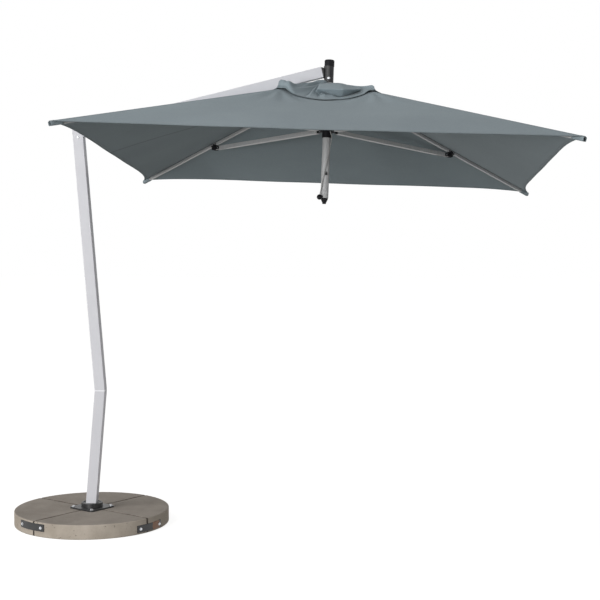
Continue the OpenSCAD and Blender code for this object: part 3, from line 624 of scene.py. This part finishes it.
hood_rows = rows // 2
hood_ts = [split_t + (1 - split_t) * k / hood_rows for k in range(hood_rows + 1)]
crown_ts = [split_t * k / 8 for k in range(9)]
crown_parts = []
for i, azimuth in enumerate(azimuths, start=1):
    for hand, side, places in halves(azimuth):
        grid, flat = half_grid(hood_spot, side, places, hood_ts)
        skirt = sheet_object(f"hood_{i}{hand}", grid, flat, hood_ts)
        face_up(skirt)
        thicken(skirt)
        skirt.data.materials.append(cloth.material)
        on_rib(skirt, i, side)
        grid, flat = half_grid(hood_spot, side, places, crown_ts)
        crown_parts.append(sheet_object(f"hood_part_{i}{hand}", grid, flat, crown_ts))
with bpy.context.temp_override(active_object=crown_parts[0], selected_editable_objects=crown_parts):
    bpy.ops.object.join()
hood_crown = crown_parts[0]
hood_crown.name = "hood_crown"
crown_work = bmesh.new()
crown_work.from_mesh(hood_crown.data)
bmesh.ops.remove_doubles(crown_work, verts=crown_work.verts, dist=0.0001)
crown_work.to_mesh(hood_crown.data)
crown_work.free()
face_up(hood_crown)
thicken(hood_crown)
hood_crown.data.materials.append(cloth.material)
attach(hood_crown, "head")
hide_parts("wind_vent")

# ---- Stitches -------------------------------------------------------------------------------
# Lockstitch in a slightly darker thread runs along the hems, round the air opening, down both
# sides of each rib's seam and along the hood's edge.
thread = Finish("polyester_thread", Roughness=0.7, Specular_IOR_Level=0.3)
twist = thread.noise(900, 2, 0.5)
thread.put("Base Color", twist.between(0.3, 0.7).colours((0.115, 0.140, 0.152), (0.190, 0.225, 0.240)))
thread.put("Roughness", twist * 0.2 + 0.6)

stitch_tree = bpy.data.node_groups.new("stitch_rows", "GeometryNodeTree")
stitch_inputs = {}
for name, kind in (("Lines", "Geometry"), ("Step", "Float"), ("Size", "Vector"), ("Thread", "Material")):
    socket = stitch_tree.interface.new_socket(name, in_out="INPUT", socket_type="NodeSocket" + kind)
    stitch_inputs[name] = socket.identifier
stitch_tree.interface.new_socket("Stitches", in_out="OUTPUT", socket_type="NodeSocketGeometry")
given = stitch_tree.nodes.new("NodeGroupInput")
line = stitch_tree.nodes.new("GeometryNodeMeshToCurve")
spaced = stitch_tree.nodes.new("GeometryNodeCurveToPoints")
spaced.mode = "LENGTH"
bar = stitch_tree.nodes.new("GeometryNodeMeshCube")
placed = stitch_tree.nodes.new("GeometryNodeInstanceOnPoints")
real = stitch_tree.nodes.new("GeometryNodeRealizeInstances")
coloured = stitch_tree.nodes.new("GeometryNodeSetMaterial")
result = stitch_tree.nodes.new("NodeGroupOutput")
for start, end in (
    (given.outputs["Lines"], line.inputs["Mesh"]),
    (line.outputs["Curve"], spaced.inputs["Curve"]),
    (given.outputs["Step"], spaced.inputs["Length"]),
    (given.outputs["Size"], bar.inputs["Size"]),
    (spaced.outputs["Points"], placed.inputs["Points"]),
    (spaced.outputs["Rotation"], placed.inputs["Rotation"]),
    (bar.outputs["Mesh"], placed.inputs["Instance"]),
    (placed.outputs["Instances"], real.inputs["Geometry"]),
    (real.outputs["Geometry"], coloured.inputs["Geometry"]),
    (given.outputs["Thread"], coloured.inputs["Material"]),
    (coloured.outputs["Geometry"], result.inputs["Stitches"]),
):
    stitch_tree.links.new(start, end)


def instanced(name, points, edges, tree, values, aims=()):
    """A mesh made by a node tree from points or lines, each point with its aim where one is given."""
    mesh = bpy.data.meshes.new(name + "_lines")
    mesh.from_pydata(points, edges, [])
    if aims:
        stored = mesh.attributes.new("aim", "FLOAT_VECTOR", "POINT")
        stored.data.foreach_set("vector", [value for vector in aims for value in vector])
    guide = bpy.data.objects.new(name + "_lines", mesh)
    bpy.context.scene.collection.objects.link(guide)
    maker = guide.modifiers.new("maker", "NODES")
    maker.node_group = tree
    for key, value in values.items():
        maker[key] = value
    ready = guide.evaluated_get(bpy.context.evaluated_depsgraph_get())
    made = bpy.data.objects.new(name, bpy.data.meshes.new_from_object(ready))
    made.data.name = name
    bpy.data.objects.remove(guide)
    bpy.context.scene.collection.objects.link(made)
    return made


stitch_step = 0.007
for i, azimuth in enumerate(azimuths, start=1):
    for hand, side, places in halves(azimuth):
        rib_end = 1 if hand == "a" else -1
        seam_places = [0.02 + 0.96 * k / 40 for k in range(41)]
        rows_of_spots = []
        for lift in (cloth_thick + 0.0002, -0.0003):
            for spot, t in ((canopy_spot, 0.984), (canopy_spot, 0.012), (hood_spot, 0.975)):
                rows_of_spots.append([(spot(t, v, side), lift) for v in places])
            seam = []
            for t in seam_places:
                m = canopy_spot(t, rib_end, side)[0]
                seam.append((canopy_spot(t, rib_end * (1 - 0.0078 / m), side), lift))
            rows_of_spots.append(seam)
        c, s = round(math.cos(math.radians(side))), round(math.sin(math.radians(side)))
        points, edges = [], []
        for row in rows_of_spots:
            first = len(points)
            points += in_canopy([(x * c - y * s, x * s + y * c, z + lift) for (x, y, z), lift in row])
            edges += [(first + k, first + k + 1) for k in range(len(row) - 1)]
        stitches = instanced(f"stitches_{i}{hand}", points, edges, stitch_tree, {
            stitch_inputs["Step"]: stitch_step,
            stitch_inputs["Size"]: (0.0007, 0.0007, 0.0048),
            stitch_inputs["Thread"]: thread.material,
        })
        on_rib(stitches, i, side)

# ---- Rivets ---------------------------------------------------------------------------------
# Domed aluminium rivets hold the nylon ends in the ribs, the brackets on the ribs and the ends in
# the struts, one on each side.
rivet_tree = bpy.data.node_groups.new("rivet_heads", "GeometryNodeTree")
rivet_inputs = {}
for name, kind in (("Places", "Geometry"), ("Radius", "Float"), ("Metal", "Material")):
    socket = rivet_tree.interface.new_socket(name, in_out="INPUT", socket_type="NodeSocket" + kind)
    rivet_inputs[name] = socket.identifier
rivet_tree.interface.new_socket("Rivets", in_out="OUTPUT", socket_type="NodeSocketGeometry")
given = rivet_tree.nodes.new("NodeGroupInput")
ball = rivet_tree.nodes.new("GeometryNodeMeshUVSphere")
ball.inputs["Segments"].default_value = 16
ball.inputs["Rings"].default_value = 8
placed = rivet_tree.nodes.new("GeometryNodeInstanceOnPoints")
placed.inputs["Scale"].default_value = (1, 1, 0.5)
aim = rivet_tree.nodes.new("GeometryNodeInputNamedAttribute")
aim.data_type = "FLOAT_VECTOR"
aim.inputs["Name"].default_value = "aim"
turned_to = rivet_tree.nodes.new("FunctionNodeAlignRotationToVector")
real = rivet_tree.nodes.new("GeometryNodeRealizeInstances")
coloured = rivet_tree.nodes.new("GeometryNodeSetMaterial")
result = rivet_tree.nodes.new("NodeGroupOutput")
for start, end in (
    (given.outputs["Places"], placed.inputs["Points"]),
    (given.outputs["Radius"], ball.inputs["Radius"]),
    (ball.outputs["Mesh"], placed.inputs["Instance"]),
    (aim.outputs["Attribute"], turned_to.inputs["Vector"]),
    (turned_to.outputs["Rotation"], placed.inputs["Rotation"]),
    (placed.outputs["Instances"], real.inputs["Geometry"]),
    (real.outputs["Geometry"], coloured.inputs["Geometry"]),
    (given.outputs["Metal"], coloured.inputs["Material"]),
    (coloured.outputs["Geometry"], result.inputs["Rivets"]),
):
    rivet_tree.links.new(start, end)

rivet_radius = 0.0026
bracket_half = rib_width / 2 + 0.0015
strut_half = 0.0129
cheek_half = 0.0161
bracket_share = 0.58
bracket_along = bracket_share * rib_out
bracket_drop = 0.024
for i, azimuth in enumerate(azimuths, start=1):
    turn = math.radians(azimuth)
    away = canopy_axes.to_3x3() @ Vector((math.cos(turn), math.sin(turn), 0))
    sideways = pole_up.cross(away)
    rib_dir = away * math.cos(rib_slope) - pole_up * math.sin(rib_slope)
    rib_down = -away * math.sin(rib_slope) - pole_up * math.cos(rib_slope)
    rib_hinge = Vector(joints[f"rib_fold_{i}"]["pos_m"])
    rib_long = (apex + rib_out * rib_dir + rib_under * rib_down - rib_hinge).length
    bracket_on_rib = (apex + bracket_along * rib_dir - rib_hinge).dot(rib_dir)
    outer_hinge = apex + bracket_along * rib_dir + (rib_under + bracket_drop) * rib_down
    strut_hinge = Vector(joints[f"strut_fold_{i}"]["pos_m"])
    strut_dir = (outer_hinge - strut_hinge).normalized()
    strut_long = (outer_hinge - strut_hinge).length
    for body, start, run, spots in (
        (f"rib_body_{i}", rib_hinge, rib_dir, (
            (0.034, rib_width / 2), (0.052, rib_width / 2), (rib_long - 0.054, rib_width / 2),
            (bracket_on_rib - 0.015, bracket_half), (bracket_on_rib + 0.015, bracket_half))),
        (f"strut_body_{i}", strut_hinge, strut_dir, (
            (0.040, strut_half), (0.058, strut_half), (strut_long - 0.044, cheek_half))),
    ):
        points, aims = [], []
        for along_piece, half in spots:
            for hand in (-1, 1):
                points.append(start + run * along_piece + sideways * hand * half)
                aims.append(sideways * hand)
        rivets = instanced(f"rivets_{body}", points, [], rivet_tree, {
            rivet_inputs["Radius"]: rivet_radius,
            rivet_inputs["Metal"]: plated.material,
        }, aims)
        rivets.data.shade_smooth()
        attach(rivets, body)

# ---- Floor, backdrop and lamps --------------------------------------------------------------
# A pale matt floor that keeps the umbrella's shadow, white to the camera and in reflections,
# under broad soft lamps.
floor_mesh = bpy.data.meshes.new("floor")
floor_half = 30
floor_z = -0.0005
floor_corners = [(x * floor_half, y * floor_half, floor_z) for x, y in ((-1, -1), (1, -1), (1, 1), (-1, 1))]
floor_mesh.from_pydata(floor_corners, [], [(0, 1, 2, 3)])
floor = bpy.data.objects.new("floor", floor_mesh)
bpy.context.scene.collection.objects.link(floor)
paper = Finish("pale_floor", Roughness=1.0, Specular_IOR_Level=0.0, Base_Color=(0.32, 0.315, 0.30))
light_path = paper.node("LightPath", out="Is Camera Ray")
mirrored = Field(paper, light_path.socket.node.outputs["Is Glossy Ray"])
through = Field(paper, light_path.socket.node.outputs["Is Transmission Ray"])
seen = paper.node("Math", [light_path + mirrored + through, 0.0], operation="ADD", use_clamp=True)
paper.put("Emission Color", seen.colours((0.0, 0.0, 0.0), (0.90, 0.90, 0.90)))
paper.put("Emission Strength", 1.0)
floor_mesh.materials.append(paper.material)

world = bpy.data.worlds.new("studio")
bpy.context.scene.world = world
world.use_nodes = True
sky = world.node_tree
background = sky.nodes["Background"]
rays = sky.nodes.new("ShaderNodeLightPath")
either = sky.nodes.new("ShaderNodeMath")
either.operation = "ADD"
sky.links.new(rays.outputs["Is Camera Ray"], either.inputs[0])
sky.links.new(rays.outputs["Is Glossy Ray"], either.inputs[1])
both = sky.nodes.new("ShaderNodeMath")
both.operation = "ADD"
both.use_clamp = True
sky.links.new(either.outputs[0], both.inputs[0])
sky.links.new(rays.outputs["Is Transmission Ray"], both.inputs[1])
level = sky.nodes.new("ShaderNodeMapRange")
level.inputs["To Min"].default_value = 0.33
level.inputs["To Max"].default_value = 1.0
sky.links.new(both.outputs[0], level.inputs["Value"])
sky.links.new(level.outputs[0], background.inputs["Strength"])
background.inputs["Color"].default_value = (1, 1, 1, 1)


def lamp(name, place, aim, size, watts):
    made = bpy.data.objects.new(name, bpy.data.lights.new(name, "AREA"))
    made.data.size = size
    made.data.energy = watts
    made.location = place
    made.rotation_euler = (Vector(aim) - Vector(place)).to_track_quat("-Z", "Y").to_euler()
    bpy.context.scene.collection.objects.link(made)


lamp("front_lamp", (-5.0, -12.0, 1.7), (1.0, 0.0, 1.3), 4.0, 1000)
lamp("right_lamp", (9.5, -9.0, 1.2), (1.0, 0.0, 1.5), 3.0, 90)
lamp("top_lamp", (-4.0, -3.0, 8.0), (0.5, 0.0, 0.5), 4.0, 170)
